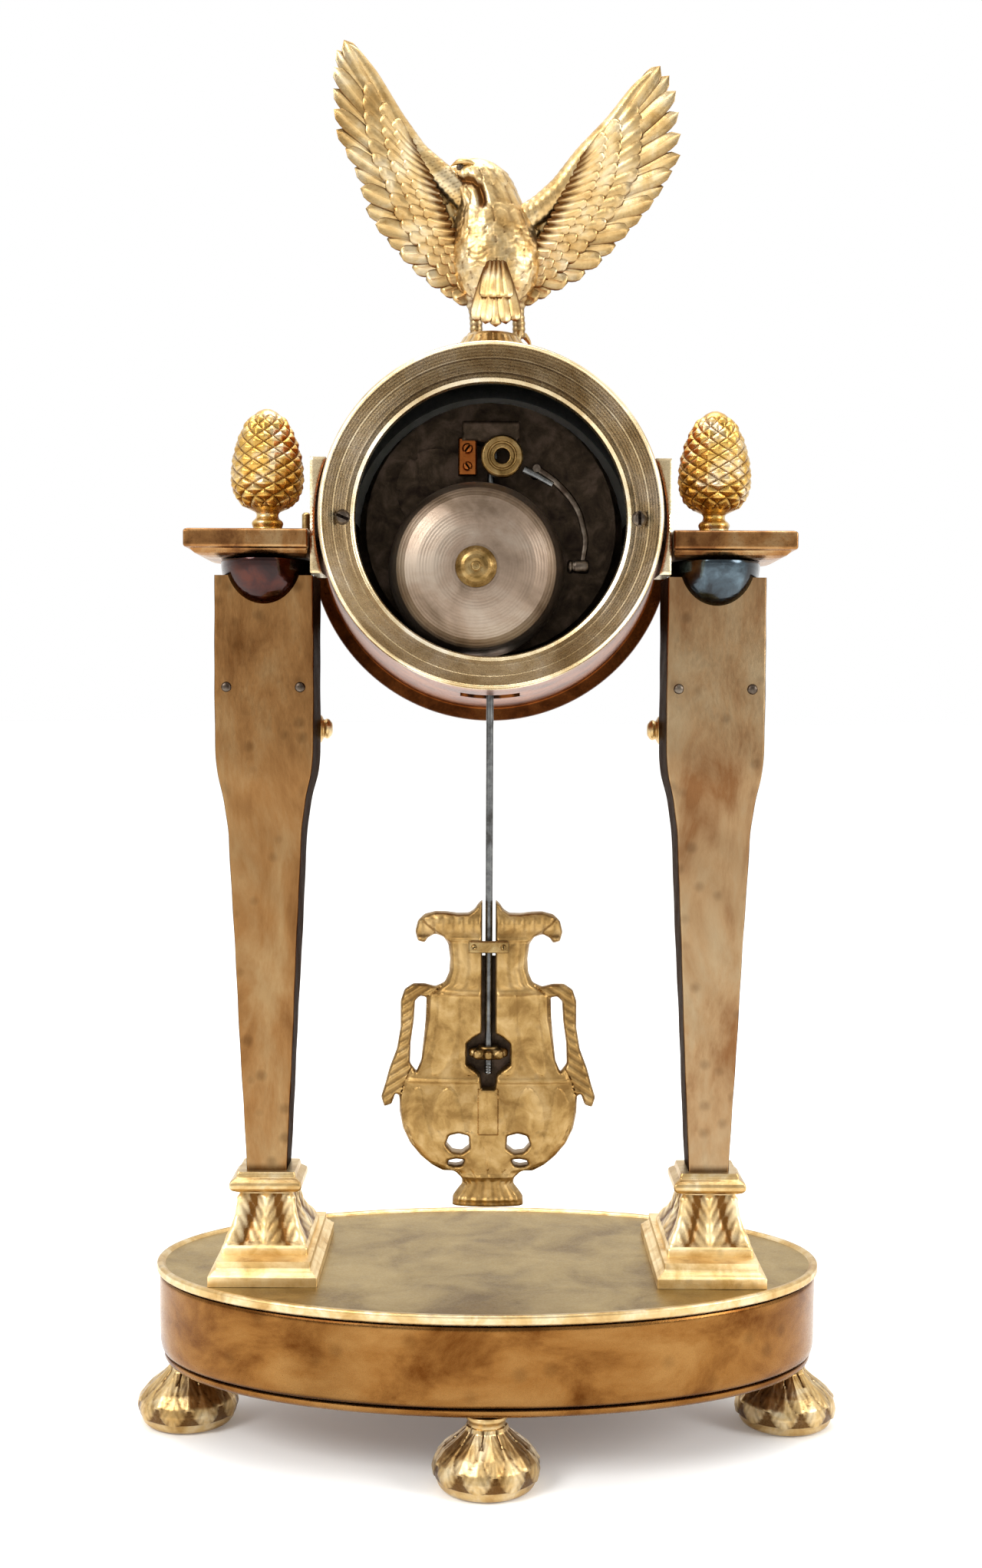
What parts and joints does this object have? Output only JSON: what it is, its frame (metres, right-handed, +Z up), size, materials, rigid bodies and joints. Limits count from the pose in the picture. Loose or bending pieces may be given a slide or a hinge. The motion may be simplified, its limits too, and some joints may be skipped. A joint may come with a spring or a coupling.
{
  "type": "portico mantel clock",
  "caption": "Gilt bronze portico mantel clock: oval base, tapering pilasters with pine cones, drum case with bell, spread eagle and amphora pendulum.",
  "frame": {"origin": "on the floor under the middle of the base", "axes": "+Z up, +Y towards the dial, -Y towards the open back of the drum, +X to the right seen from the back"},
  "size_m": [0.2282, 0.1352, 0.4416],
  "materials": {
    "gilt_bronze": "fire-gilt cast and chased bronze, satin",
    "copper_bronze": "worn gilding over bronze, brushed",
    "amber_bronze": "amber-toned gilt sheet, polished",
    "dark_bronze": "dark patinated bronze, glossy",
    "brass": "brushed",
    "bell_metal": "turned and silvered by age",
    "steel": "brushed and lightly greyed",
    "enamel": "white enamel",
    "glass": "clear, domed"
  },
  "bodies": {
    "case": {"plinth_left": "gilt_bronze", "socle_left": "gilt_bronze", "collar_left": "gilt_bronze", "shaft_left": "copper_bronze", "echinus_left": "dark_bronze", "abacus_left": "copper_bronze", "pine_cone_left": "gilt_bronze", "front_roll_left": "gilt_bronze", "side_bracket_left": "gilt_bronze", "strap_left": "steel", "strap_screw_left": "steel", "plinth_right": "gilt_bronze", "socle_right": "gilt_bronze", "collar_right": "gilt_bronze", "shaft_right": "copper_bronze", "echinus_right": "dark_bronze", "abacus_right": "copper_bronze", "pine_cone_right": "gilt_bronze", "front_roll_right": "gilt_bronze", "side_bracket_right": "gilt_bronze", "strap_right": "steel", "strap_screw_right": "steel", "base_top_plate": "gilt_bronze", "foot_left": "gilt_bronze", "foot_right": "gilt_bronze", "foot_rear": "gilt_bronze", "foot_front": "gilt_bronze", "rear_rim": "gilt_bronze", "bezel_hinge": "gilt_bronze", "eagle_perch": "gilt_bronze", "eagle_body": "gilt_bronze", "eagle_wing_left": "gilt_bronze", "eagle_wing_right": "gilt_bronze", "eagle_tail": "gilt_bronze", "base_under_plate": "amber_bronze", "base_wall": "amber_bronze", "drum_case": "copper_bronze", "front_plate": "brass", "back_plate": "brass", "back_cock": "brass", "bell_nut": "brass", "bell_stand": "steel", "bell": "bell_metal", "dial": "enamel"},
    "pendulum": {"pendulum_rod": "steel"},
    "bob": {"bob": "gilt_bronze", "bob_crossbar": "brass"},
    "rating_nut": {"rating_nut": "brass"},
    "anchor": {"anchor": "steel"},
    "escape_wheel": {"escape_wheel": "brass"},
    "minute_hand": {"minute_hand": "steel"},
    "hour_hand": {"hour_hand": "steel"},
    "bezel": {"bezel": "gilt_bronze", "glass": "glass"},
    "hammer": {"hammer": "steel"},
    "count_wheel": {"count_wheel": "brass"},
    "going_barrel": {"going_barrel": "brass"},
    "strike_barrel": {"strike_barrel": "brass"}
  },
  "joints": [
    {"name": "pendulum_swing", "type": "hinge", "parent": "case", "child": "pendulum", "pos_m": [0, -0.008, 0.309], "axis": [0, 1, 0], "range_deg": [-4, 4]},
    {"name": "crutch_rock", "type": "hinge", "parent": "case", "child": "anchor", "pos_m": [0, -0.008, 0.309], "axis": [0, 1, 0], "range_deg": [-4, 4]},
    {"name": "bob_slide", "type": "slide", "parent": "pendulum", "child": "bob", "axis": [0, 0, 1], "range_m": [-0.002, 0.002]},
    {"name": "nut_turn", "type": "hinge", "parent": "bob", "child": "rating_nut", "pos_m": [0, -0.008, 0.1228], "axis": [0, 0, 1], "range_deg": [-720, 720]},
    {"name": "escape_turn", "type": "hinge", "parent": "case", "child": "escape_wheel", "pos_m": [0, 0.011, 0.298], "axis": [0, 1, 0], "continuous": true},
    {"name": "minute_turn", "type": "hinge", "parent": "case", "child": "minute_hand", "pos_m": [0, 0.043, 0.289], "axis": [0, -1, 0], "continuous": true},
    {"name": "hour_turn", "type": "hinge", "parent": "case", "child": "hour_hand", "pos_m": [0, 0.0416, 0.289], "axis": [0, -1, 0], "continuous": true},
    {"name": "bezel_open", "type": "hinge", "parent": "case", "child": "bezel", "pos_m": [-0.0627, 0.0416, 0.289], "axis": [0, 0, 1], "range_deg": [0, 110]},
    {"name": "hammer_lift", "type": "hinge", "parent": "case", "child": "hammer", "pos_m": [0.014, -0.015, 0.306], "axis": [0, -1, 0], "range_deg": [0, 10]},
    {"name": "count_turn", "type": "hinge", "parent": "case", "child": "count_wheel", "pos_m": [-0.017, -0.0039, 0.301], "axis": [0, 1, 0], "continuous": true},
    {"name": "going_wind", "type": "hinge", "parent": "case", "child": "going_barrel", "pos_m": [-0.017, 0.012, 0.28], "axis": [0, 1, 0], "continuous": true},
    {"name": "strike_wind", "type": "hinge", "parent": "case", "child": "strike_barrel", "pos_m": [0.017, 0.012, 0.28], "axis": [0, 1, 0], "continuous": true}
  ],
  "couplings": [
    {"joint": "crutch_rock", "follows": "pendulum_swing", "ratio": 1},
    {"joint": "nut_turn", "follows": "bob_slide", "rad_per_m": 6283.2},
    {"joint": "hour_turn", "follows": "minute_turn", "ratio": 0.083333}
  ]
}
